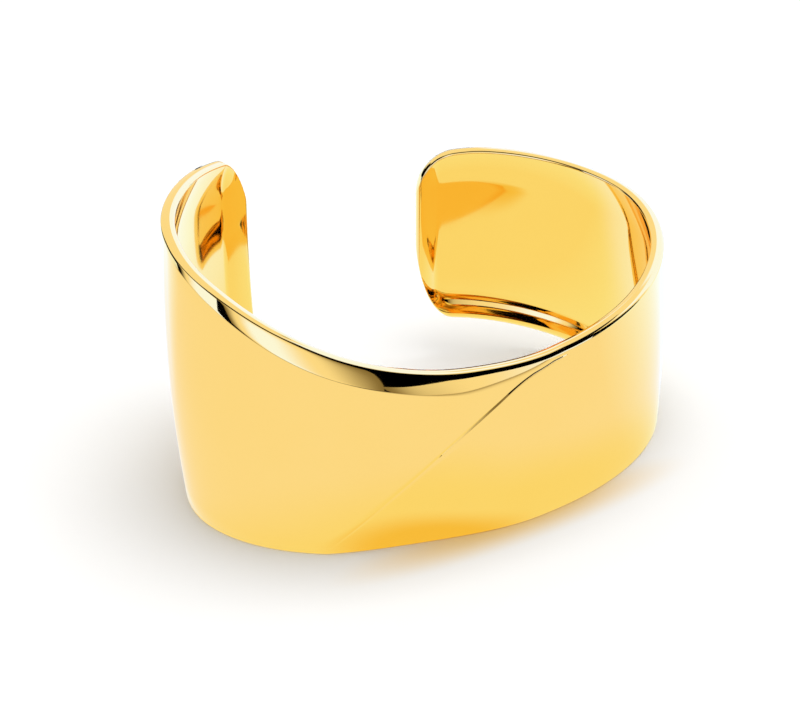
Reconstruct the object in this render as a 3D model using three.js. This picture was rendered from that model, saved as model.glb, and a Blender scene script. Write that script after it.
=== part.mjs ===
// An open cuff bangle, lying on its lower edge with the wrist hole upright.
// Units are millimetres. +Z is up, the opening faces +Y and the diagonal fold faces -Y.
// The cuff is one piece: a wall swept round an oval from one end to the other. "Along" is the
// distance along the wall from the middle of the front, negative towards the tall left side.

import * as THREE from 'three';

// ---- driving dimensions ----

const HALF_WIDTH = 33;
const HALF_DEPTH = 22.8;
const OVAL_POWER = 1.95; // 2 is an ellipse, and less has flatter quarters
const FRONT_FLATTENING = 0.014; // share of the radius taken off the front and given to the back
const END_ANGLE = 149; // degrees from the middle of the front to each end of the wall

const MID_HEIGHT = 15; // height at which the wall stands on the oval
const LEAN = { all: 0.015, right: -0.031, back: 0.034 }; // outward run for each mm of height
const BARREL = 0.53; // how far the wall curves in at its foot

const WALL = 1.0;
const RIM = 1.8;
const RIM_CROWN = 0.1;
const RIM_INNER_RADIUS = 0.35;
const FOOT_RADIUS = 0.35;
const TOP_LIP = 5; // height of the thickened band under the rim
const END_LIP = { left: 4.4, right: 2.8 }; // width of the thickened band at each end

// the bead along the foot, inside: it stands out more towards the ends
const BEAD = { height: 2.8, front: 0.2, ends: 0.78, growsFrom: 25, growsTo: 45 };
const BEAD_FOLLOWS = 0.6; // how much of the ends' rounded corners the bead follows
const BEAD_MIDDLE = 0.1; // how far up the bead is fullest, as a share of its height
const BEAD_UNDERCUT = 3.5; // how fast it falls back below that

const FOOT_RISE = { start: 33, height: 5.6 }; // the foot lifts towards the right end
const LEFT_END_TRIM = 0.55; // the left end stops this much short of the oval's end
// the ends' rounded corners: how far they reach along the wall, and up or down each end
const CORNER_REACH = 5;
const CORNERS = { left: { top: 10, foot: 8 }, right: { top: 5.5, foot: 11 } };

// height of the rim, as the wall goes round
const RIM_HEIGHTS = [
  { along: -75, height: 34.8 },
  { along: -65, height: 36.35 },
  { along: -56, height: 36.4 },
  { along: -47, height: 35.35 },
  { along: -38.5, height: 32.8 },
  { along: -30, height: 29.05 },
  { along: -22, height: 25.75 },
  { along: -14.5, height: 23.65 },
  { along: -8, height: 22.55 },
  { along: 3, height: 21.85 },
  { along: 17, height: 22.7 },
  { along: 33, height: 24.9 },
  { along: 50, height: 27.55 },
  { along: 66, height: 29.3 },
  { along: 75, height: 28.6 },
];

// the rounding of the rim's outer edge
const RIM_ROUNDING = [
  { along: -50, radius: 0.3 },
  { along: -30, radius: 0.35 },
  { along: -22, radius: 0.5 },
  { along: -12, radius: 0.7 },
  { along: 10, radius: 0.7 },
  { along: 32, radius: 0.6 },
  { along: 75, radius: 0.5 },
];

// the leaf-shaped bevel under the rim: its height, how far it leans in, and its roundness, where 0
// is a flat bevel and 1 meets the wall without an edge
const LEAF = [
  { along: -47, height: 0, inset: 0, roundness: 0.2 },
  { along: -45, height: 0.3, inset: 0.15, roundness: 0.2 },
  { along: -39, height: 1, inset: 0.5, roundness: 0.2 },
  { along: -33, height: 1.65, inset: 0.8, roundness: 0.2 },
  { along: -27, height: 2.15, inset: 1, roundness: 0.25 },
  { along: -21, height: 2.2, inset: 1, roundness: 0.35 },
  { along: -16.5, height: 2.25, inset: 1, roundness: 0.48 },
  { along: -12, height: 2.5, inset: 0.87, roundness: 0.47 },
  { along: -8, height: 2.6, inset: 0.8, roundness: 0.45 },
  { along: -3, height: 2.05, inset: 0.57, roundness: 0.45 },
  { along: 0, height: 1.45, inset: 0.4, roundness: 0.4 },
  { along: 3, height: 0.9, inset: 0.22, roundness: 0.4 },
  { along: 6, height: 0.3, inset: 0, roundness: 0.4 },
];
const LEAF_MIN_HEIGHT = 0.75; // the plain edge band where there is no leaf

// the diagonal fold, where the left sheet laps over the right one: the height of its line, and its
// step as a share of the full one
const FOLD = [
  { along: -25.3, height: 0, step: 0.15 },
  { along: -22.5, height: 2.55, step: 0.15 },
  { along: -18.4, height: 6.45, step: 0.15 },
  { along: -16, height: 8.75, step: 0.15 },
  { along: -13, height: 11.5, step: 0.15 },
  { along: -11, height: 13.25, step: 0.3 },
  { along: -9, height: 14.9, step: 0.6 },
  { along: -6.5, height: 16.75, step: 1 },
  { along: -4, height: 18.3, step: 1 },
  { along: -2.4, height: 19.2, step: 0.75 },
  { along: -0.7, height: 19.95, step: 0.52 },
  { along: 1.1, height: 20.5, step: 0.4 },
  { along: 3, height: 20.85, step: 0.33 },
  { along: 5.2, height: 21.2, step: 0.3 },
  { along: 6.5, height: 21.3, step: 0 },
];
const FOLD_STEP = { depth: 0.05, land: 0.08 };
// the groove under the fold's edge, which is never narrower than a share of its full width
const FOLD_GROOVE = { depth: 0.22, width: 0.43, narrowest: 0.3 };
const INNER_FOLD_SOFTNESS = 5;
const CLEAR_BAND = 0.07; // least height left between the fold's line and the wall's edges
const TUCK = { slope: 0.16, from: -34, full: -25, to: 2 }; // the right sheet turns in under the fold

const STATION_SPACING = 1.6;
// the sections' points, as shares of the way up or down the part of the section that they are on
const SHEET_ROWS = [0, 0.33, 0.67, 1];
const INNER_ROWS = [0.05, 0.11, 0.2, 0.5, 0.8, 0.885, 0.925, 0.955, 0.98, 1];
const NOSE = [ // how the wall thins to its rounded ends
  { fromEnd: 0, thickness: 0.4 },
  { fromEnd: 0.2, thickness: 0.78 },
  { fromEnd: 0.7, thickness: 1 },
  { fromEnd: 1.5, thickness: 1 },
  { fromEnd: 2.4, thickness: 1 },
  { fromEnd: 3.6, thickness: 1 },
];

// ---- small helpers ----

const clamp = THREE.MathUtils.clamp;
const lerp = THREE.MathUtils.lerp;
const smooth = (x) => THREE.MathUtils.smoothstep(x, 0, 1);

// how far a place is through a span, from 0 to 1
const shareOf = (from, to, at) => clamp((at - from) / (to - from), 0, 1);

// reads a column of a table of places along the wall, with a smooth curve through its rows
function readTable(rows, column, along) {
  const last = rows.length - 1;
  if (along <= rows[0].along) return rows[0][column];
  if (along >= rows[last].along) return rows[last][column];
  const i = rows.findIndex((row) => row.along > along) - 1;
  const slope = (a, b) => (rows[b][column] - rows[a][column]) / (rows[b].along - rows[a].along);
  const span = rows[i + 1].along - rows[i].along;
  const startSlope = slope(Math.max(i - 1, 0), i + 1);
  const endSlope = slope(i, Math.min(i + 2, last));
  const x = (along - rows[i].along) / span;
  const fromStart = (1 + 2 * x) * (1 - x) ** 2 * rows[i][column];
  const fromEnd = x * x * (3 - 2 * x) * rows[i + 1][column];
  const turns = x * (1 - x) * ((1 - x) * startSlope - x * endSlope) * span;
  return fromStart + fromEnd + turns;
}

// ---- the oval that the wall follows ----

class OvalPlan extends THREE.Curve {
  constructor() {
    super();
    this.arcLengthDivisions = 3000;
  }

  getPoint(share, target = new THREE.Vector3()) {
    const angle = THREE.MathUtils.degToRad(-90 + END_ANGLE * (2 * share - 1));
    const wide = Math.abs(Math.cos(angle) / HALF_WIDTH) ** OVAL_POWER;
    const deep = Math.abs(Math.sin(angle) / HALF_DEPTH) ** OVAL_POWER;
    const radius = (wide + deep) ** (-1 / OVAL_POWER) * (1 - FRONT_FLATTENING * Math.sin(3 * angle));
    return target.set(radius * Math.cos(angle), radius * Math.sin(angle), 0);
  }
}

const plan = new OvalPlan();
const WALL_LENGTH = plan.getLength();
const END_ALONG = { left: WALL_LENGTH / 2 - LEFT_END_TRIM, right: WALL_LENGTH / 2 };

// ---- heights along the wall ----

// how much a rounded corner takes off the wall's height
function cornerCut(fromEnd, radius) {
  const x = clamp(1 - fromEnd / CORNER_REACH, 0, 1);
  return radius * (1 - Math.sqrt(1 - x * x));
}

// everything that changes from one station of the wall to the next
function makeStation(along, thickness = 1) {
  const side = along < 0 ? 'left' : 'right';
  const share = clamp(along / WALL_LENGTH + 0.5, 0, 1);
  const point = plan.getPointAt(share);
  const tangent = plan.getTangentAt(share);
  const fromEnd = END_ALONG[side] - Math.abs(along);
  const fullRim = readTable(RIM_HEIGHTS, 'height', along);
  const fullFoot = FOOT_RISE.height * smooth(shareOf(FOOT_RISE.start, END_ALONG.right, along));
  const rim = fullRim - cornerCut(fromEnd, CORNERS[side].top);
  const foot = fullFoot + cornerCut(fromEnd, CORNERS[side].foot);
  const leafHeight = Math.max(readTable(LEAF, 'height', along), 0);
  const bevelFoot = rim - Math.max(leafHeight, LEAF_MIN_HEIGHT);
  const lowestFold = foot + FOOT_RADIUS + CLEAR_BAND;
  const highestFold = bevelFoot - FOLD_STEP.land - CLEAR_BAND;
  const beadFoot = lerp(fullFoot, foot, BEAD_FOLLOWS);
  const beadGrowth = smooth(shareOf(BEAD.growsFrom, BEAD.growsTo, Math.abs(along)));
  const step = clamp(readTable(FOLD, 'step', along), 0, 1);
  const tuckIn = smooth(shareOf(TUCK.from, TUCK.full, along));
  const tuckOut = smooth(shareOf(TUCK.to, TUCK.full, along));
  return {
    point,
    outward: new THREE.Vector3(tangent.y, -tangent.x, 0),
    lean: LEAN.all + LEAN.right * (point.x / HALF_WIDTH) + LEAN.back * (point.y / HALF_DEPTH),
    thickness,
    foot,
    rim,
    rounding: readTable(RIM_ROUNDING, 'radius', along),
    bevelFoot,
    inset: Math.max(readTable(LEAF, 'inset', along), 0),
    roundness: readTable(LEAF, 'roundness', along),
    lipFoot: fullRim - TOP_LIP,
    lipTop: fullRim,
    beadFoot,
    beadThickness: lerp(BEAD.front, BEAD.ends, beadGrowth),
    nearEnd: 1 - shareOf(0, END_LIP[side], fromEnd) ** 2,
    fold: clamp(readTable(FOLD, 'height', along), lowestFold, highestFold),
    step,
    grooveWidth: FOLD_GROOVE.width * Math.max(step, FOLD_GROOVE.narrowest),
    tuck: TUCK.slope * tuckIn * tuckOut,
  };
}

// ---- the wall's two faces ----

// how far the wall stands out from the oval, without the fold
function plainFace(station, height) {
  const { lean, inset, roundness, bevelFoot, rim } = station;
  const fromMiddle = height - MID_HEIGHT;
  const onBevel = shareOf(bevelFoot, rim, height);
  const bevelDip = lerp(onBevel, onBevel * onBevel, roundness);
  const barrel = BARREL * (fromMiddle / MID_HEIGHT) ** 2;
  return lean * fromMiddle - barrel + inset * (smooth(height / bevelFoot) - bevelDip);
}

// the outer face, where the sheet is 'left' or 'right' of the fold
function outerFace(station, height, sheet) {
  const { fold, step, tuck } = station;
  const out = plainFace(station, height);
  if (sheet === 'left') return out;
  const under = Math.max(fold - height, 0);
  const groove = FOLD_GROOVE.depth * (1 - shareOf(0, station.grooveWidth, under));
  const drop = FOLD_STEP.depth * clamp(height / fold, 0, 1) + groove;
  return out - step * drop - tuck * under;
}

// how far the bead stands out, between its foot and its top
function beadOut(station, height) {
  const up = shareOf(station.beadFoot, station.beadFoot + BEAD.height, height);
  const above = Math.max(up - BEAD_MIDDLE, 0) / (1 - BEAD_MIDDLE);
  const below = Math.max(BEAD_MIDDLE - up, 0);
  return station.beadThickness * (1 - above ** 2 - BEAD_UNDERCUT * below ** 2);
}

// the wall's thickness: thin in the middle, thicker in a band along each edge
function wallThickness(station, height) {
  const underRim = shareOf(station.lipFoot, station.lipTop, height) ** 2;
  const band = (RIM - WALL) * (1 - (1 - underRim) * (1 - station.nearEnd));
  return WALL + Math.hypot(band, beadOut(station, height));
}

// the inner face, which turns smoothly where the outer one folds
function innerFace(station, height) {
  const under = station.fold - height;
  const softUnder = (under + Math.hypot(under, INNER_FOLD_SOFTNESS)) / 2;
  return plainFace(station, height) - station.tuck * softUnder - wallThickness(station, height);
}

// the closed section at one station, from the foot up the outer face and down the inner one
function makeSection(station) {
  const { foot, rim, rounding, fold, bevelFoot } = station;
  const outer = (height, sheet) => ({ out: outerFace(station, height, sheet), height });
  const inner = (height) => ({ out: innerFace(station, height), height });

  const lowest = foot + FOOT_RADIUS;
  const highest = rim - RIM_INNER_RADIUS;
  const foldTop = fold + FOLD_STEP.land;
  const grooveFoot = Math.max(fold - station.grooveWidth, (lowest + fold) / 2);
  const footOut = outer(lowest, 'right').out;
  const footIn = inner(lowest).out;

  const near = 0.1;
  const topLean = Math.atan((outer(rim - near, 'left').out - outer(rim, 'left').out) / near);
  const bevelTop = outer(rim - rounding * (1 - Math.sin(topLean)), 'left');
  const roundMiddle = bevelTop.out - rounding * Math.cos(topLean);
  const halfTurn = (topLean + Math.PI / 2) / 2;
  const rimIn = inner(highest).out;

  const outerRows = [
    { out: footOut - FOOT_RADIUS, height: foot },
    ...SHEET_ROWS.map((share) => outer(lerp(lowest, grooveFoot, share), 'right')),
    outer(fold, 'right'),
    ...SHEET_ROWS.map((share) => outer(lerp(foldTop, bevelFoot, share), 'left')),
    outer((bevelFoot + bevelTop.height) / 2, 'left'),
    bevelTop,
  ];
  const rimRows = [
    {
      out: roundMiddle + rounding * Math.cos(halfTurn),
      height: rim - rounding * (1 - Math.sin(halfTurn)),
    },
    { out: roundMiddle, height: rim },
    { out: (roundMiddle + rimIn + RIM_INNER_RADIUS) / 2, height: rim + RIM_CROWN },
    { out: rimIn + RIM_INNER_RADIUS, height: rim },
    { out: rimIn, height: highest },
  ];
  const innerRows = [
    ...INNER_ROWS.map((share) => inner(lerp(highest, lowest, share))),
    { out: footIn + FOOT_RADIUS, height: foot },
  ];

  return [...outerRows, ...rimRows, ...innerRows].map(({ out, height }) => {
    const face = clamp(height, lowest, highest);
    const middle = (outer(face, face < fold ? 'right' : 'left').out + inner(face).out) / 2;
    const across = lerp(middle, out, station.thickness);
    const point = station.point.clone().addScaledVector(station.outward, across);
    return point.setZ(height);
  });
}

// ---- the solid ----

function listStations() {
  const lastNose = NOSE[NOSE.length - 1].fromEnd;
  const plainLength = END_ALONG.left + END_ALONG.right - 2 * lastNose;
  const count = Math.round(plainLength / STATION_SPACING);
  const left = NOSE.map((row) => makeStation(row.fromEnd - END_ALONG.left, row.thickness));
  const right = NOSE.map((row) => makeStation(END_ALONG.right - row.fromEnd, row.thickness));
  const plain = [];
  for (let i = 1; i < count; i += 1) {
    plain.push(makeStation(lastNose - END_ALONG.left + (plainLength * i) / count));
  }
  return [...left, ...plain, ...right.reverse()];
}

// joins the sections into one closed skin, with a cap of narrow triangles at each end
function joinSections(sections) {
  const rows = sections[0].length;
  const index = [];
  for (let i = 0; i < sections.length - 1; i += 1) {
    for (let j = 0; j < rows; j += 1) {
      const here = i * rows + j;
      const above = i * rows + ((j + 1) % rows);
      index.push(here, here + rows, above + rows);
      index.push(here, above + rows, above);
    }
  }
  const last = (sections.length - 1) * rows;
  for (let low = 0, high = rows - 1; high - low > 1; low += 1, high -= 1) {
    index.push(low, low + 1, high);
    index.push(last + low, last + high, last + low + 1);
    if (high - low > 2) {
      index.push(low + 1, high - 1, high);
      index.push(last + low + 1, last + high, last + high - 1);
    }
  }
  const geometry = new THREE.BufferGeometry().setFromPoints(sections.flat());
  geometry.setIndex(index);
  geometry.computeVertexNormals();
  return geometry;
}

const polishedGold = new THREE.MeshStandardMaterial({
  name: 'polished_gold',
  color: 0xfdd27c,
  metalness: 1,
  roughness: 0.08,
});

const cuff = new THREE.Mesh(joinSections(listStations().map(makeSection)), polishedGold);
cuff.name = 'cuff';

// the origin is under the middle of the cuff, on the surface that it lies on
const box = new THREE.Box3().setFromObject(cuff);
const middle = box.getCenter(new THREE.Vector3());
cuff.position.set(-middle.x, -middle.y, -box.min.z);

const bangle = new THREE.Group();
bangle.name = 'open_cuff_bangle';
bangle.add(cuff);

export default bangle;
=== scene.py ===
"""An open cuff bangle of polished yellow gold, made round its CAD frame.

Lengths are millimetres until a mesh is written, which is in metres. +Z is up, the opening faces +Y
and the diagonal fold faces -Y. "Along" is the distance along the wall from the middle of the front,
negative towards the tall left side. A bearing is in degrees round the bangle: 0 is its right side,
90 its opening, 180 its left side and -90 its front.
"""

import math

import bpy
import numpy as np
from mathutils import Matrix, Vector


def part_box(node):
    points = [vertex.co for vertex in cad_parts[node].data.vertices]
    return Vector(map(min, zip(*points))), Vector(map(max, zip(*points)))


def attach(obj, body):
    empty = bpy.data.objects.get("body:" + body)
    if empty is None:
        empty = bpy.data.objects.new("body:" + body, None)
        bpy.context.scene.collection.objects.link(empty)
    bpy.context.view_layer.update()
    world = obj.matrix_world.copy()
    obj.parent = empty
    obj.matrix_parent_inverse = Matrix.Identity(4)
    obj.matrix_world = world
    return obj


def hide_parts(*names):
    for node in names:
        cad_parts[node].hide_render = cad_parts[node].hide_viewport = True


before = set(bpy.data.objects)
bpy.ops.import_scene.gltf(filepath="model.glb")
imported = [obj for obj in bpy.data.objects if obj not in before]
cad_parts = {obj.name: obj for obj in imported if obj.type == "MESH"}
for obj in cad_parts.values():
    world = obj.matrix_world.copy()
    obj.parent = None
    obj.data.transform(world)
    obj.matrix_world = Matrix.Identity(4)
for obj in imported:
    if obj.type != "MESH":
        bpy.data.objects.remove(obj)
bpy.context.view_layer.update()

METRE = 0.001

# ---- the cuff's dimensions ----

HALF_WIDTH = 33.0
HALF_DEPTH = 22.8
OVAL_POWER = 1.95  # 2 is an ellipse, and less has flatter quarters
FRONT_FLATTENING = 0.014  # share of the radius taken off the front and given to the back
END_ANGLE = 149  # degrees from the middle of the front to each end of the wall

MID_HEIGHT = 15  # height at which the wall stands on the oval
LEAN = {"all": 0.015, "right": -0.031, "back": 0.034}  # outward run for each mm of height
BARREL = 0.53  # how far the wall curves in at its foot

WALL = 1.0
RIM = 1.8
RIM_CROWN = 0.1
RIM_INNER_RADIUS = 0.35
FOOT_RADIUS = 0.35
TOP_LIP = 5.0  # height of the thickened band under the rim
END_LIP = {"left": 4.4, "right": 2.8}  # width of the thickened band at each end

# the bead along the foot, inside: it stands out more towards the ends
BEAD = {"height": 2.8, "front": 0.2, "ends": 0.78, "grows_from": 25, "grows_to": 45}
BEAD_FOLLOWS = 0.6  # how much of the ends' rounded corners the bead follows
BEAD_MIDDLE = 0.1  # how far up the bead is fullest, as a share of its height
BEAD_UNDERCUT = 3.5  # how fast it falls back below that

FOOT_RISE = {"start": 33.0, "height": 5.6}  # the foot lifts towards the right end
LEFT_END_TRIM = 0.55  # the left end stops this much short of the oval's end
# the ends' rounded corners: how far they reach along the wall, and up or down each end
CORNER_REACH = 5.0
CORNERS = {"left": {"top": 10.0, "foot": 8.0}, "right": {"top": 5.5, "foot": 11.0}}

# height of the rim, as the wall goes round: (along, height)
RIM_HEIGHTS = (
    (-75, 34.8), (-65, 36.35), (-56, 36.4), (-47, 35.35), (-38.5, 32.8),
    (-30, 29.05), (-22, 25.75), (-14.5, 23.65), (-8, 22.55), (3, 21.85),
    (17, 22.7), (33, 24.9), (50, 27.55), (66, 29.3), (75, 28.6),
)

# radius of the rim's outer edge: (along, radius)
RIM_ROUNDING = ((-50, 0.3), (-30, 0.35), (-22, 0.5), (-12, 0.7), (10, 0.7), (32, 0.6), (75, 0.5))

# the leaf-shaped bevel under the rim: (along, height, how far it leans in, roundness), where
# roundness 0 is a flat bevel and 1 meets the wall without an edge
LEAF = (
    (-47, 0.0, 0.0, 0.2), (-45, 0.3, 0.15, 0.2), (-39, 1.0, 0.5, 0.2), (-33, 1.65, 0.8, 0.2),
    (-27, 2.15, 1.0, 0.25), (-21, 2.2, 1.0, 0.35), (-16.5, 2.25, 1.0, 0.48), (-12, 2.5, 0.87, 0.47),
    (-8, 2.6, 0.8, 0.45), (-3, 2.05, 0.57, 0.45), (0, 1.45, 0.4, 0.4), (3, 0.9, 0.22, 0.4),
    (6, 0.3, 0.0, 0.4),
)
LEAF_MIN_DROP = 0.75  # the plain edge band where there is no leaf

CREASE = 0.08  # half the height of the rounding where the bevel meets the wall

# the diagonal fold, where the left sheet laps over the right one:
# (along, height of its line, share of the full step)
FOLD = (
    (-25.3, 0, 0.15), (-22.5, 2.55, 0.15), (-18.4, 6.45, 0.15), (-16, 8.75, 0.15),
    (-13, 11.5, 0.15), (-11, 13.25, 0.3), (-9, 14.9, 0.6), (-6.5, 16.75, 1.0),
    (-4, 18.3, 1.0), (-2.4, 19.2, 0.75), (-0.7, 19.95, 0.52), (1.1, 20.5, 0.4),
    (3, 20.85, 0.33), (5.2, 21.2, 0.3), (6.5, 21.3, 0.0),
)
FOLD_STEP = {"depth": 0.05, "land": 0.08}
# the groove under the fold's edge, which is never narrower than a share of its full width
FOLD_GROOVE = {"depth": 0.22, "width": 0.43, "narrowest": 0.3}
INNER_FOLD_SOFTNESS = 5.0
CLEAR_BAND = 0.07  # least height left between the fold's line and the wall's edges
TUCK = {"slope": 0.16, "from": -34, "full": -25, "to": 2}  # the right sheet turns in under the fold

STATION_SPACING = 0.4
# the wall rounds off to its ends in a quarter turn, cut short where the end is flat (radians)
NOSE = {"reach": 0.75, "steps": 8, "flat": 0.12}
# how many steps each part of the wall's section has
STEPS = {"wall": 14, "groove": 5, "sheet": 16, "bevel": 9, "rim_edge": 8, "inside": 44, "round": 5}


# ---- small helpers ----

def clamp(x, low, high):
    return min(max(x, low), high)


def lerp(a, b, share):
    return a + (b - a) * share


def smooth(x):
    x = clamp(x, 0, 1)
    return x * x * (3 - 2 * x)


def share_of(span, at):
    """How far a place is through a span, from 0 to 1."""
    return clamp((at - span[0]) / (span[1] - span[0]), 0, 1)


def read_table(rows, at):
    """A smooth curve through a table's rows, read at one place."""
    if at <= rows[0][0]:
        return rows[0][1]
    if at >= rows[-1][0]:
        return rows[-1][1]
    last = len(rows) - 1
    i = next(k for k in range(last) if rows[k + 1][0] > at)

    def slope(a, b):
        return (rows[b][1] - rows[a][1]) / (rows[b][0] - rows[a][0])

    span = rows[i + 1][0] - rows[i][0]
    start_slope = slope(max(i - 1, 0), i + 1)
    end_slope = slope(i, min(i + 2, last))
    x = (at - rows[i][0]) / span
    from_start = (1 + 2 * x) * (1 - x) ** 2 * rows[i][1]
    from_end = x * x * (3 - 2 * x) * rows[i + 1][1]
    turns = x * (1 - x) * ((1 - x) * start_slope - x * end_slope) * span
    return from_start + from_end + turns


# ---- the oval that the wall follows ----

def oval_points(count=6000):
    """Points along the oval, and their distance along it from the middle of the front."""
    angle = np.radians(-90 + END_ANGLE * np.linspace(-1, 1, count + 1))
    wide = np.abs(np.cos(angle) / HALF_WIDTH) ** OVAL_POWER
    deep = np.abs(np.sin(angle) / HALF_DEPTH) ** OVAL_POWER
    radius = (wide + deep) ** (-1 / OVAL_POWER) * (1 - FRONT_FLATTENING * np.sin(3 * angle))
    points = np.stack([radius * np.cos(angle), radius * np.sin(angle)], axis=1)
    steps = np.linalg.norm(np.diff(points, axis=0), axis=1)
    along = np.concatenate([[0], np.cumsum(steps)])
    return points, along - along[-1] / 2


OVAL, OVAL_ALONG = oval_points()
END_ALONG = {"left": OVAL_ALONG[-1] - LEFT_END_TRIM, "right": OVAL_ALONG[-1]}


def oval_at(along):
    return Vector([float(np.interp(along, OVAL_ALONG, OVAL[:, axis])) for axis in (0, 1)])


# ---- heights along the wall ----

def corner_cut(from_end, radius):
    """How much a rounded corner takes off the wall's height."""
    x = clamp(1 - from_end / CORNER_REACH, 0, 1)
    return radius * (1 - math.sqrt(1 - x * x))


class Station:
    """Everything that changes from one place along the wall to the next."""

    def __init__(self, along, thickness=1.0):
        side = "left" if along < 0 else "right"
        from_end = max(END_ALONG[side] - abs(along), 0)
        near = 0.05
        tangent = (oval_at(along + near) - oval_at(along - near)).normalized()
        self.point = oval_at(along)
        self.outward = Vector((tangent.y, -tangent.x))
        self.thickness = thickness
        self.lean = (
            LEAN["all"]
            + LEAN["right"] * self.point.x / HALF_WIDTH
            + LEAN["back"] * self.point.y / HALF_DEPTH
        )

        full_rim = read_table(RIM_HEIGHTS, along)
        foot_rise = smooth(share_of((FOOT_RISE["start"], END_ALONG["right"]), along))
        full_foot = FOOT_RISE["height"] * foot_rise
        self.rim = full_rim - corner_cut(from_end, CORNERS[side]["top"])
        self.foot = full_foot + corner_cut(from_end, CORNERS[side]["foot"])
        leaf_height, self.inset, self.roundness = (
            max(read_table([(row[0], row[k]) for row in LEAF], along), 0) for k in (1, 2, 3)
        )
        self.bevel_foot = self.rim - max(leaf_height, LEAF_MIN_DROP)
        self.rounding = read_table(RIM_ROUNDING, along)

        self.top_lip = (full_rim - TOP_LIP, full_rim)
        self.near_end = 1 - share_of((0, END_LIP[side]), from_end) ** 2
        bead_foot = lerp(full_foot, self.foot, BEAD_FOLLOWS)
        self.bead = (bead_foot, bead_foot + BEAD["height"])
        bead_growth = smooth(share_of((BEAD["grows_from"], BEAD["grows_to"]), abs(along)))
        self.bead_thickness = lerp(BEAD["front"], BEAD["ends"], bead_growth)

        lowest_fold = self.foot + FOOT_RADIUS + CLEAR_BAND
        highest_fold = self.bevel_foot - FOLD_STEP["land"] - CLEAR_BAND
        fold_height, step = (read_table([(row[0], row[k]) for row in FOLD], along) for k in (1, 2))
        self.fold = clamp(fold_height, lowest_fold, highest_fold)
        self.step = clamp(step, 0, 1)
        self.groove_width = FOLD_GROOVE["width"] * max(self.step, FOLD_GROOVE["narrowest"])
        tuck_in = smooth(share_of((TUCK["from"], TUCK["full"]), along))
        tuck_out = smooth(share_of((TUCK["to"], TUCK["full"]), along))
        self.tuck = TUCK["slope"] * tuck_in * tuck_out


# ---- the wall's two faces ----

def plain_face(station, height):
    """How far the wall stands out from the oval, without the fold."""
    from_middle = height - MID_HEIGHT
    on_bevel = share_of((station.bevel_foot, station.rim), height)
    bevel_dip = lerp(on_bevel, on_bevel ** 2, station.roundness)
    barrel = BARREL * (from_middle / MID_HEIGHT) ** 2
    rounding = smooth(height / station.bevel_foot) - bevel_dip
    return station.lean * from_middle - barrel + station.inset * rounding


def outer_face(station, height, sheet):
    """The outer face, where the sheet is left or right of the fold."""
    out = plain_face(station, height)
    if sheet == "left":
        return out
    under = max(station.fold - height, 0)
    groove = FOLD_GROOVE["depth"] * max(1 - under / station.groove_width, 0)
    step = FOLD_STEP["depth"] * clamp(height / station.fold, 0, 1) + groove
    return out - station.step * step - station.tuck * under


def bead_out(station, height):
    """How far the bead stands out, between its foot and its top."""
    up = share_of(station.bead, height)
    above = max(up - BEAD_MIDDLE, 0) / (1 - BEAD_MIDDLE)
    below = max(BEAD_MIDDLE - up, 0)
    return station.bead_thickness * (1 - above ** 2 - BEAD_UNDERCUT * below ** 2)


def wall_thickness(station, height):
    """Thin in the middle, and thicker in a band along each edge."""
    under_rim = share_of(station.top_lip, height) ** 2
    band = (RIM - WALL) * (1 - (1 - under_rim) * (1 - station.near_end))
    return WALL + math.hypot(band, bead_out(station, height))


def inner_face(station, height):
    """The inner face, which turns smoothly where the outer one folds."""
    under = station.fold - height
    soft_under = (under + math.hypot(under, INNER_FOLD_SOFTNESS)) / 2
    return plain_face(station, height) - station.tuck * soft_under - wall_thickness(station, height)


def spaced(low, high, count, first=True):
    """Evenly spaced numbers from low to high."""
    return [lerp(low, high, k / count) for k in range(0 if first else 1, count + 1)]


def quarter_round(centre, radius, start, stop, count=STEPS["round"]):
    """Points (out, height) on an arc, between two directions in degrees: 0 is outward and 90 up."""
    return [
        (centre[0] + radius * math.cos(angle), centre[1] + radius * math.sin(angle))
        for angle in spaced(math.radians(start), math.radians(stop), count)
    ]


def outer_rows(station, lowest, under_rim):
    """The outer face's points, from the foot's rounding up to the rim's."""
    fold_top = station.fold + FOLD_STEP["land"]
    under_fold = max(station.fold - station.groove_width, lerp(lowest, station.fold, 0.5))
    crease = min(CREASE, (station.bevel_foot - fold_top) / 2)
    right = spaced(lowest, under_fold, STEPS["wall"])
    right += spaced(under_fold, station.fold, STEPS["groove"], first=False)
    left = spaced(fold_top, station.bevel_foot - crease, STEPS["sheet"])
    left += spaced(station.bevel_foot + crease, under_rim, STEPS["bevel"])
    return [
        (outer_face(station, height, sheet), height)
        for sheet, heights in (("right", right), ("left", left))
        for height in heights
    ]


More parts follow.
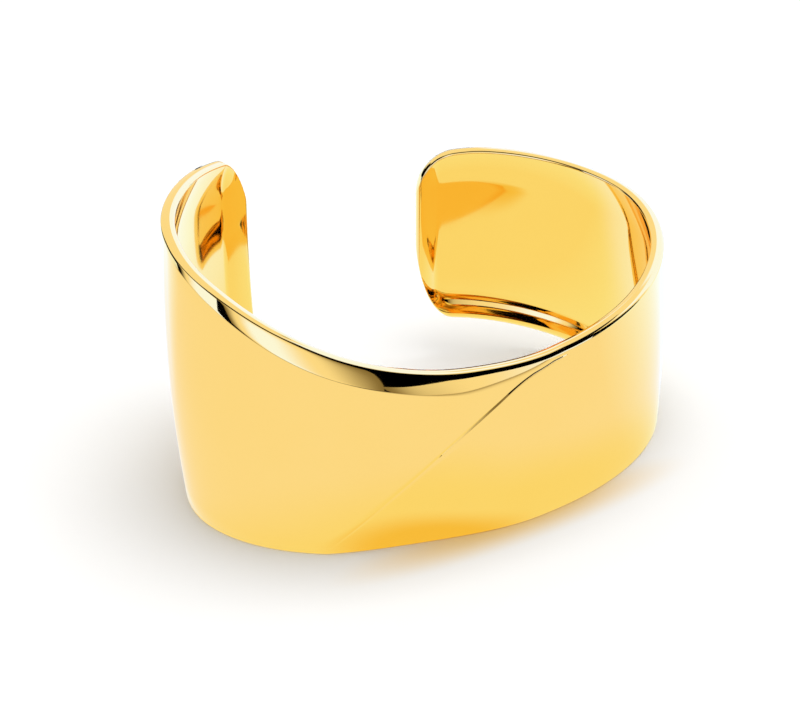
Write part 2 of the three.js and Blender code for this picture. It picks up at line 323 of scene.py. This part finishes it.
def section(station):
    """The closed section at one station: up the outer face, over the rim and down the inner."""
    lowest = station.foot + FOOT_RADIUS
    near = 0.1
    below_rim = outer_face(station, station.rim - near, "left")
    top_lean = math.atan((below_rim - outer_face(station, station.rim, "left")) / near)
    under_rim_out = station.rim - station.rounding * (1 - math.sin(top_lean))
    under_rim_in = station.rim - RIM_INNER_RADIUS

    foot_out = outer_face(station, lowest, "right")
    loop = quarter_round((foot_out - FOOT_RADIUS, lowest), FOOT_RADIUS, -90, 0)[:-1]
    loop += outer_rows(station, lowest, under_rim_out)

    rim_side = outer_face(station, under_rim_out, "left")
    outer_edge = rim_side - station.rounding * math.cos(top_lean)
    inner_edge = inner_face(station, under_rim_in) + RIM_INNER_RADIUS
    loop += quarter_round((outer_edge, station.rim - station.rounding), station.rounding,
                          math.degrees(top_lean), 90, STEPS["rim_edge"])[1:]
    for share in (0.2, 0.4, 0.6, 0.8):
        crown = RIM_CROWN * 4 * share * (1 - share)
        loop.append((lerp(outer_edge, inner_edge, share), station.rim + crown))
    loop += quarter_round((inner_edge, under_rim_in), RIM_INNER_RADIUS, 90, 180)

    for turn in spaced(0, math.pi, STEPS["inside"], first=False):
        height = lerp(under_rim_in, lowest, (1 - math.cos(turn)) / 2)
        loop.append((inner_face(station, height), height))
    foot_in = inner_face(station, lowest)
    loop += quarter_round((foot_in + FOOT_RADIUS, lowest), FOOT_RADIUS, 180, 270)[1:]

    placed = []
    for out, height in loop:
        face = clamp(height, lowest, under_rim_in)
        outer = outer_face(station, face, "right" if face < station.fold else "left")
        across = lerp((outer + inner_face(station, face)) / 2, out, station.thickness)
        place = station.point + station.outward * across
        placed.append((place.x, place.y, height))
    return placed


def stations():
    """The stations of the wall from end to end, close together where it rounds off."""
    nose = [
        (NOSE["reach"] * (1 - math.cos(turn)), math.sin(turn))
        for turn in spaced(NOSE["flat"], math.pi / 2, NOSE["steps"])
    ]
    first, last = NOSE["reach"] - END_ALONG["left"], END_ALONG["right"] - NOSE["reach"]
    plain = spaced(first, last, round((last - first) / STATION_SPACING))
    left = [Station(from_end - END_ALONG["left"], thickness) for from_end, thickness in nose[:-1]]
    right = [Station(END_ALONG["right"] - from_end, thickness) for from_end, thickness in nose[:-1]]
    return left + [Station(along) for along in plain] + right[::-1]


def cuff_mesh():
    """The cuff's closed skin, set on the CAD body's box."""
    sections = [section(station) for station in stations()]
    rows = len(sections[0])
    corners = np.array(sections).reshape(-1, 3)
    low, high = corners.min(0), corners.max(0)
    cad_low, cad_high = (np.array(corner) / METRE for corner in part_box("cuff"))
    shift = (cad_low + cad_high - low - high) / 2
    shift[2] = cad_low[2] - low[2]
    faces = []
    for i in range(len(sections) - 1):
        for j in range(rows):
            here, above = i * rows + j, i * rows + (j + 1) % rows
            faces.append((here, here + rows, above + rows, above))
    last = (len(sections) - 1) * rows
    faces.append(tuple(range(rows)))
    faces.append(tuple(last + j for j in reversed(range(rows))))

    mesh = bpy.data.meshes.new("cuff_wall")
    mesh.from_pydata([tuple(corner) for corner in (corners + shift) * METRE], [], faces)
    mesh.validate()
    mesh.shade_smooth()
    return mesh


# ---- materials ----

# the gold is a little paler in some patches than in others
GOLD_PALE = "#fdd983"
GOLD_DEEP = "#fdd77d"
BUFFED_PATCH = 9  # mm across
HAZE = (0.03, 0.06)  # roughness of the cleanest patch and of the haziest
WHEEL_WAVE = {"length": 14, "depth": 0.004}  # mm

PAPER_MOTTLE = 3  # mm across
PAPER_WHITE = "#e7e7e7"
# the yellow painted into the paper for the gold's glow on it, not the paper's own colour
PAPER_PAINTED_GLOW = "#e7c98f"
# a glow painted yellow on the paper where the gold would throw light onto it: an oval patch, in mm
# and degrees
PAINTED_GOLD_GLOW = {"middle": (0, -20), "reach": (27, 5.4), "turn": 0, "edge": 0.8, "strength": 1.0}

MIXED_COLOUR = 2  # which output of a colour-mixing node carries the colour


def linear(hex_colour):
    """An sRGB colour such as #ffcc66 as linear light."""
    channels = [int(hex_colour[i:i + 2], 16) / 255 for i in (1, 3, 5)]
    light = [c / 12.92 if c <= 0.04045 else ((c + 0.055) / 1.055) ** 2.4 for c in channels]
    return (*light, 1.0)


def add_node(tree, kind, settings=None, **links):
    """Adds a node, gives its properties and sockets their settings, and links its named inputs."""
    node = tree.nodes.new(kind)
    by_identifier = {socket.identifier: socket for socket in node.inputs}
    for name, value in (settings or {}).items():
        if hasattr(node, name):
            setattr(node, name, value)
        else:
            by_identifier.get(name, node.inputs.get(name)).default_value = value
    for name, source in links.items():
        socket = by_identifier.get(name) or node.inputs[name.replace("_", " ")]
        tree.links.new(source, socket)
    return node


def new_material(name):
    material = bpy.data.materials.new(name)
    material.use_nodes = True
    material.node_tree.nodes.clear()
    return material, material.node_tree


def polished_gold():
    """18 carat yellow gold, buffed on a soft wheel to a mirror.

    The metal gives clean, deep yellow reflections. The wheel leaves a wave a few microns deep and
    faintly hazier patches, so long reflections waver a little and soften here and there."""
    material, tree = new_material("polished_gold")
    place = add_node(tree, "ShaderNodeTexCoord")
    buffing = add_node(tree, "ShaderNodeTexNoise", {
        "Scale": 1 / (BUFFED_PATCH * METRE), "Detail": 3.0, "Roughness": 0.55,
    }, Vector=place.outputs["Object"])
    haze = add_node(tree, "ShaderNodeMapRange", {
        "From Min": 0.35, "From Max": 0.65, "To Min": HAZE[0], "To Max": HAZE[1],
    }, Value=buffing.outputs["Fac"])
    warmth = add_node(tree, "ShaderNodeMix", {
        "data_type": "RGBA", "A_Color": linear(GOLD_PALE), "B_Color": linear(GOLD_DEEP),
    }, Factor_Float=buffing.outputs["Fac"])
    wave = add_node(tree, "ShaderNodeTexNoise", {
        "Scale": 1 / (WHEEL_WAVE["length"] * METRE), "Detail": 1.0,
    }, Vector=place.outputs["Object"])
    wheel_marks = add_node(tree, "ShaderNodeBump", {
        "Strength": 1.0, "Distance": WHEEL_WAVE["depth"] * METRE,
    }, Height=wave.outputs["Fac"])
    gold = add_node(tree, "ShaderNodeBsdfPrincipled", {"Metallic": 1.0},
                    Base_Color=warmth.outputs[MIXED_COLOUR], Roughness=haze.outputs["Result"],
                    Normal=wheel_marks.outputs["Normal"])
    add_node(tree, "ShaderNodeOutputMaterial", Surface=gold.outputs["BSDF"])
    return material


def oval_patch(tree, patch):
    """How much of an oval patch of the floor covers each place, from 1 in its middle to 0."""
    place = add_node(tree, "ShaderNodeTexCoord")
    fitted = add_node(tree, "ShaderNodeMapping", {
        "vector_type": "TEXTURE",
        "Location": (patch["middle"][0] * METRE, patch["middle"][1] * METRE, 0),
        "Rotation": (0, 0, math.radians(patch["turn"])),
        "Scale": (patch["reach"][0] * METRE, patch["reach"][1] * METRE, 1),
    }, Vector=place.outputs["Object"])
    dome = add_node(tree, "ShaderNodeTexGradient", {"gradient_type": "SPHERICAL"},
                    Vector=fitted.outputs["Vector"])
    cover = add_node(tree, "ShaderNodeMapRange", {
        "interpolation_type": "SMOOTHSTEP", "From Max": patch["edge"], "To Max": patch["strength"],
    }, Value=dome.outputs["Fac"])
    return cover.outputs["Result"]


def white_paper():
    """Uncoated white paper, rolled smooth.

    It is matt, with no shine even at a low angle, and its mottle is too faint to show. Along the
    front of the foot its colour is painted yellow, a painted glow for the light that the gold
    throws."""
    material, tree = new_material("white_paper")
    place = add_node(tree, "ShaderNodeTexCoord")
    fibres = add_node(tree, "ShaderNodeTexNoise", {"Scale": 1 / (PAPER_MOTTLE * METRE)},
                      Vector=place.outputs["Object"])
    roughness = add_node(tree, "ShaderNodeMapRange", {"To Min": 0.9, "To Max": 1.0},
                         Value=fibres.outputs["Fac"])
    # the paper's white, painted yellow where the gold would throw its glow
    white = add_node(tree, "ShaderNodeMix", {
        "data_type": "RGBA", "A_Color": linear(PAPER_WHITE), "B_Color": linear(PAPER_PAINTED_GLOW),
    }, Factor_Float=oval_patch(tree, PAINTED_GOLD_GLOW))
    paper = add_node(tree, "ShaderNodeBsdfPrincipled", {"Specular IOR Level": 0.0},
                     Base_Color=white.outputs[MIXED_COLOUR], Roughness=roughness.outputs["Result"])
    add_node(tree, "ShaderNodeOutputMaterial", Surface=paper.outputs["BSDF"])
    return material


# ---- the bangle ----

cuff = bpy.data.objects.new("cuff_polished", cuff_mesh())
bpy.context.scene.collection.objects.link(cuff)
cuff.data.materials.append(polished_gold())
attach(cuff, "root")
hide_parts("cuff")


# ---- the studio ----

FLOOR_SIZE = 4000
TENT_STRENGTH = 0.84
LAMP = {"place": (80, -20, 700), "size": 500, "power": 3.1}  # mm and watts
CAMERA = {"bearing": -122.659, "elevation": 28.768, "distance": 290, "aim": (-2.88, 0.92, 13.57)}
LENS = {"sensor": 36, "length": 106.86, "nearest": 10, "farthest": 20000}  # mm

# what the cards glow with, before their strength: the blue-white turns near white in the gold
CARD_STRENGTH = 3.0
BLACK = "#000000"
OLIVE = "#504a3c"
TAN = "#726d66"
PLAIN = "#9c9c9c"
PALE = "#9cb0d8"
COOL = "#9cb3ff"

# the floor as the gold sees it has a painted sheen that brightens towards one bearing, over a
# distance in mm
FLOOR = {"bright_towards": 50, "bright_from": 0, "brightens_over": 45}
# its oval patches, in mm and degrees: the plain part round the bangle, painted darker tan outside
# it, and the parts painted yellow for the light that the gold throws
NEAR_FLOOR = {"middle": (0, 0), "reach": (450, 450), "turn": 0, "edge": 0.7, "strength": 1}
HOLLOW_GLOW = {
    "middle": (0, -8), "reach": (40, 30), "turn": 0, "edge": 0.4, "strength": 1,
    "tint": "#fefbd0",
}
FOOT_GLOW = {
    "middle": (-11, -18.5), "reach": (15, 5), "turn": -14, "edge": 0.6, "strength": 1,
    "tint": "#fbe194",
}


def direction(bearing, elevation):
    """The way from the bangle towards a bearing and an elevation in degrees, as a unit vector."""
    b, e = math.radians(bearing), math.radians(elevation)
    return Vector((math.cos(b) * math.cos(e), math.sin(b) * math.cos(e), math.sin(e)))


def point_z(thing, way):
    """Turns a thing so that its own Z, a card's face or a lamp's or camera's back, points a way."""
    thing.rotation_mode = "QUATERNION"
    thing.rotation_quaternion = way.to_track_quat("Z", "Y")


def plane(name, width, height):
    mesh = bpy.data.meshes.new(name)
    w, h = width / 2 * METRE, height / 2 * METRE
    mesh.from_pydata([(-w, -h, 0), (w, -h, 0), (w, h, 0), (-w, h, 0)], [], [(0, 1, 2, 3)])
    thing = bpy.data.objects.new(name, mesh)
    bpy.context.scene.collection.objects.link(thing)
    return thing


def only_in_the_gold(thing):
    """The thing shows as a reflection, and neither lights the floor nor is seen itself."""
    thing.visible_camera = False
    thing.visible_diffuse = False
    thing.visible_shadow = False


def card_surface(name, shades, soft):
    """A glow that changes through three shades, from the card's sides to its middle."""
    material, tree = new_material(name)
    place = add_node(tree, "ShaderNodeTexCoord")
    across = add_node(tree, "ShaderNodeSeparateXYZ", Vector=place.outputs["Generated"])
    left, right, foot, top = soft
    sides = (("X", 0, left), ("X", 1, 1 - right), ("Y", 0, foot), ("Y", 1, 1 - top))
    depth = None
    for axis, outer, inner in sides:
        from_side = add_node(tree, "ShaderNodeMapRange", {"From Min": outer, "From Max": inner},
                             Value=across.outputs[axis])
        if depth is None:
            depth = from_side.outputs["Result"]
        else:
            both = add_node(tree, "ShaderNodeMath", {"operation": "MULTIPLY"},
                            Value=depth, Value_001=from_side.outputs["Result"])
            depth = both.outputs["Value"]
    ramp = add_node(tree, "ShaderNodeValToRGB", Fac=depth)
    ramp.color_ramp.interpolation = "EASE"
    ramp.color_ramp.elements.new(0.5)
    for stop, shade in zip(ramp.color_ramp.elements, shades):
        stop.color = linear(shade)
    light = add_node(tree, "ShaderNodeEmission", {"Strength": CARD_STRENGTH},
                     Color=ramp.outputs["Color"])
    add_node(tree, "ShaderNodeOutputMaterial", Surface=light.outputs["Emission"])
    return material


def card(name, bearing, elevation, width, height, shades, soft, distance=600):
    """A card that the gold reflects.

    Bearing and elevation give its middle, and width and height are the angles that it fills, as
    seen from the bangle. Shades run from its sides to its middle, and soft is the share of it that
    shades off at its left, right, foot and top, as seen from the bangle."""
    wide = 2 * distance * math.tan(math.radians(width) / 2)
    tall = 2 * distance * math.tan(math.radians(height) / 2)
    thing = plane(name, wide, tall)
    toward = direction(bearing, elevation)
    thing.location = toward * distance * METRE
    point_z(thing, -toward)
    hard = 0.001
    thing.data.materials.append(card_surface(name, shades, [max(share, hard) for share in soft]))
    only_in_the_gold(thing)


def tinted(tree, colour, patch):
    """The colour, tinted where the patch covers the floor."""
    tint = add_node(tree, "ShaderNodeMix", {
        "data_type": "RGBA", "blend_type": "MULTIPLY", "B_Color": linear(patch["tint"]),
    }, Factor_Float=oval_patch(tree, patch), A_Color=colour)
    return tint.outputs[MIXED_COLOUR]


def floor_with_painted_light():
    """The floor as the gold sees it.

    It stands for white paper and glows with painted light: painted yellow inside the bangle and
    close to its foot, painted darker far off, and a painted sheen brighter beyond."""
    material, tree = new_material("floor_with_painted_light")
    place = add_node(tree, "ShaderNodeTexCoord")
    past_bangle = add_node(tree, "ShaderNodeMapping", {
        "vector_type": "TEXTURE",
        "Rotation": (0, 0, math.radians(FLOOR["bright_towards"])),
        "Location": direction(FLOOR["bright_towards"], 0) * FLOOR["bright_from"] * METRE,
        "Scale": (FLOOR["brightens_over"] * METRE, 1, 1),
    }, Vector=place.outputs["Object"])
    beyond = add_node(tree, "ShaderNodeTexGradient", Vector=past_bangle.outputs["Vector"])
    # painted darker, tan, far from the bangle, and plain near it
    near_white = add_node(tree, "ShaderNodeMix", {
        "data_type": "RGBA", "A_Color": linear(TAN), "B_Color": linear(PLAIN),
    }, Factor_Float=oval_patch(tree, NEAR_FLOOR))
    # a painted sheen, paler towards one bearing beyond the bangle
    cool = add_node(tree, "ShaderNodeMix", {
        "data_type": "RGBA", "B_Color": linear(PALE),
    }, Factor_Float=beyond.outputs["Fac"], A_Color=near_white.outputs[MIXED_COLOUR])
    colour = cool.outputs[MIXED_COLOUR]
    # paints the gold's yellow glow into the floor inside the bangle and along its foot
    for patch in (HOLLOW_GLOW, FOOT_GLOW):
        colour = tinted(tree, colour, patch)
    light = add_node(tree, "ShaderNodeEmission", {"Strength": CARD_STRENGTH}, Color=colour)
    add_node(tree, "ShaderNodeOutputMaterial", Surface=light.outputs["Emission"])
    return material


def white_tent():
    """The pale surroundings, which light the floor and stand behind it, but aren't in the gold."""
    world = bpy.data.worlds.new("white_tent")
    bpy.context.scene.world = world
    world.use_nodes = True
    background = world.node_tree.nodes["Background"]
    background.inputs["Color"].default_value = (1, 1, 1, 1)
    background.inputs["Strength"].default_value = TENT_STRENGTH
    world.cycles_visibility.glossy = False


def overhead_softbox():
    """A soft lamp nearly overhead, which gives the bangle its shade on the floor."""
    lamp = bpy.data.lights.new("overhead_softbox", "AREA")
    lamp.shape = "SQUARE"
    lamp.size = LAMP["size"] * METRE
    lamp.energy = LAMP["power"]
    softbox = bpy.data.objects.new("overhead_softbox", lamp)
    bpy.context.scene.collection.objects.link(softbox)
    softbox.location = Vector(LAMP["place"]) * METRE
    point_z(softbox, softbox.location)
    softbox.visible_glossy = False


def place_camera():
    camera = bpy.data.objects.new("camera", bpy.data.cameras.new("camera"))
    bpy.context.scene.collection.objects.link(camera)
    bpy.context.scene.camera = camera
    camera.data.sensor_width = LENS["sensor"]
    camera.data.lens = LENS["length"]
    camera.data.clip_start = LENS["nearest"] * METRE
    camera.data.clip_end = LENS["farthest"] * METRE
    back = direction(CAMERA["bearing"], CAMERA["elevation"])
    camera.location = (Vector(CAMERA["aim"]) + back * CAMERA["distance"]) * METRE
    point_z(camera, back)


# the paper that is seen, and a second sheet in its place that only the gold sees, glowing with
# painted light
floor = plane("paper_floor", FLOOR_SIZE, FLOOR_SIZE)
floor.data.materials.append(white_paper())
floor.visible_glossy = False

reflected_floor = plane("floor_seen_in_the_gold", FLOOR_SIZE, FLOOR_SIZE)
reflected_floor.data.materials.append(floor_with_painted_light())
only_in_the_gold(reflected_floor)

card("back_softbox", 20, 25, 76, 54, (PLAIN, PLAIN, COOL), soft=(0.17, 0.15, 0, 0.1))
card("far_wall", 75, 50, 70, 90, (BLACK, PLAIN, PLAIN), soft=(0.1, 0.1, 0, 0.1), distance=660)
card("front_low_wall", -67, 6, 54, 20, (OLIVE, PLAIN, COOL), soft=(0, 0.9, 0, 0), distance=640)
card("left_front_softbox", -123.5, 30, 59, 54, (OLIVE, PLAIN, COOL), soft=(0.6, 0.3, 0, 0.5))
card("left_softbox", 169, 20, 46, 44, (BLACK, PLAIN, COOL), soft=(0, 0.6, 0, 0.2))

white_tent()
overhead_softbox()
place_camera()
bpy.context.scene.view_settings.view_transform = "Standard"
